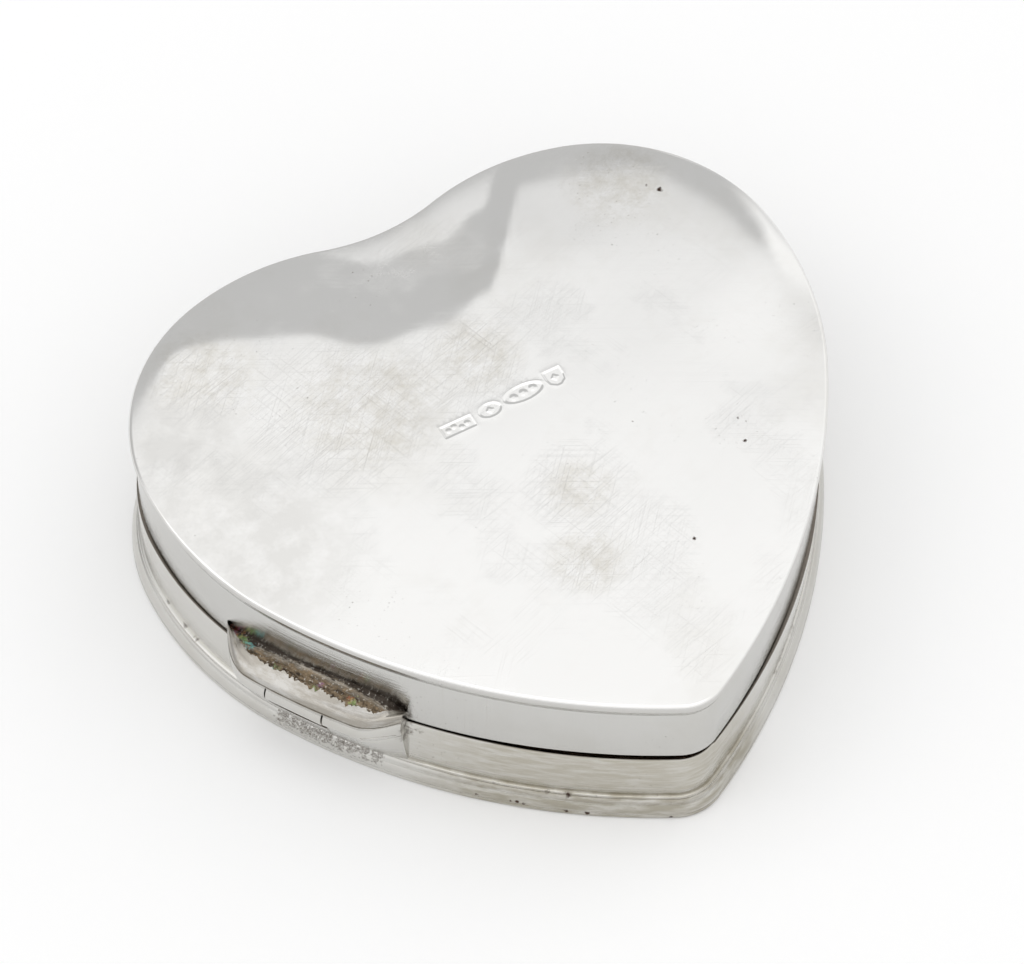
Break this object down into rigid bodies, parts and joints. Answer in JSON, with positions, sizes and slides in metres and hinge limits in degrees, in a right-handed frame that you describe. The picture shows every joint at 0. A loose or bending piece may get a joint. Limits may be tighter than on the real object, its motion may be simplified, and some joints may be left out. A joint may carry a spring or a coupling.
{
  "type": "wind-up music box",
  "caption": "Heart-shaped hinged silver box with a wind-up cylinder movement under a clear cover and a lined tray.",
  "frame": {"origin": "middle of the heart's length and width on the outside face of the lid, where the stored box rests", "axes": "+Z from the lid's face up through the bottom plate, -Y towards the heart's tip, -X towards the hinged flank. The box is stored closed and face down on its lid, as it is pictured; turned over it stands on its bottom plate."},
  "size_m": [0.0906, 0.0858, 0.0247],
  "materials": {
    "silver": "worn polished silver",
    "brass": "polished",
    "steel": "polished",
    "blued_steel": "blued",
    "nickel": "plain",
    "velvet": "cotton velvet",
    "acrylic": "clear acrylic"
  },
  "bodies": {
    "lid": {"lid_wall": "silver", "lid_panel": "silver", "lid_moulding": "silver", "lid_lining": "velvet", "lid_hinge_leaf": "silver", "hinge_pin": "steel"},
    "barrel": {"barrel_drum": "brass", "barrel_cap": "brass", "mainspring": "blued_steel"},
    "winder": {"winding_arbor": "steel", "ratchet_wheel": "steel", "key_boss": "brass", "key_pin": "steel"},
    "key": {"folding_key": "brass"},
    "pawl": {"click": "steel"},
    "cylinder": {"cylinder_sleeve": "brass", "cylinder_arbor": "steel", "cylinder_pinion": "brass", "cylinder_wheel": "brass"},
    "second": {"second_arbor": "steel", "second_pinion": "steel", "worm_wheel": "brass"},
    "governor": {"worm_shaft": "steel", "worm_thread": "steel", "fan": "nickel"},
    "stop": {"stop_slide": "brass", "stop_finger": "brass"},
    "base": {"base_hinge_leaf": "silver", "base_wall": "silver", "base_plate": "silver", "base_bezel": "silver", "bay_partition": "silver", "tray_lining": "velvet", "tray_side_lining": "velvet", "movement_cover": "acrylic", "cover_posts": "silver", "cover_screws": "brass", "bedplate": "brass", "bedplate_posts": "silver", "bedplate_screws": "steel", "barrel_bridge": "brass", "bridge_pillars": "brass", "bridge_screws": "blued_steel", "click_screw": "blued_steel", "click_spring": "blued_steel", "bearing_left": "brass", "bearing_right": "brass", "bearing_screws": "blued_steel", "comb": "steel", "comb_heel": "brass", "comb_screws": "blued_steel", "governor_plate": "brass", "governor_cock": "brass"}
  },
  "joints": [
    {"name": "lid_hinge", "type": "hinge", "parent": "lid", "child": "base", "pos_m": [-0.03852, -0.01095, 0.01205], "axis": [0.5255, -0.8508, 0], "range_deg": [0, 105]},
    {"name": "barrel_spin", "type": "hinge", "parent": "base", "child": "barrel", "pos_m": [-0.014, 0.014, 0.018], "axis": [0, 0, 1], "continuous": true},
    {"name": "cylinder_spin", "type": "hinge", "parent": "base", "child": "cylinder", "pos_m": [0, 0.014, 0.01615], "axis": [1, 0, 0], "continuous": true},
    {"name": "second_spin", "type": "hinge", "parent": "base", "child": "second", "pos_m": [0.02, 0.01851, 0.0183], "axis": [1, 0, 0], "continuous": true},
    {"name": "fan_spin", "type": "hinge", "parent": "base", "child": "governor", "pos_m": [0.0224, 0.02184, 0.016], "axis": [0, 0, 1], "continuous": true},
    {"name": "winding", "type": "hinge", "parent": "base", "child": "winder", "pos_m": [-0.014, 0.014, 0.012], "axis": [0, 0, 1], "continuous": true},
    {"name": "key_fold", "type": "hinge", "parent": "winder", "child": "key", "pos_m": [-0.014, 0.014, 0.00955], "axis": [-1, 0, 0], "range_deg": [0, 90]},
    {"name": "click_rock", "type": "hinge", "parent": "base", "child": "pawl", "pos_m": [-0.0117, 0.0197, 0.0128], "axis": [0, 0, -1], "range_deg": [0, 12], "stiffness_Nm_per_rad": 0.000002},
    {"name": "stop_travel", "type": "slide", "parent": "base", "child": "stop", "axis": [1, 0, 0], "range_m": [0, 0.0025]}
  ],
  "couplings": [
    {"joint": "cylinder_spin", "follows": "barrel_spin", "ratio": -2.4},
    {"joint": "second_spin", "follows": "barrel_spin", "ratio": 7.2},
    {"joint": "fan_spin", "follows": "barrel_spin", "ratio": 144}
  ]
}
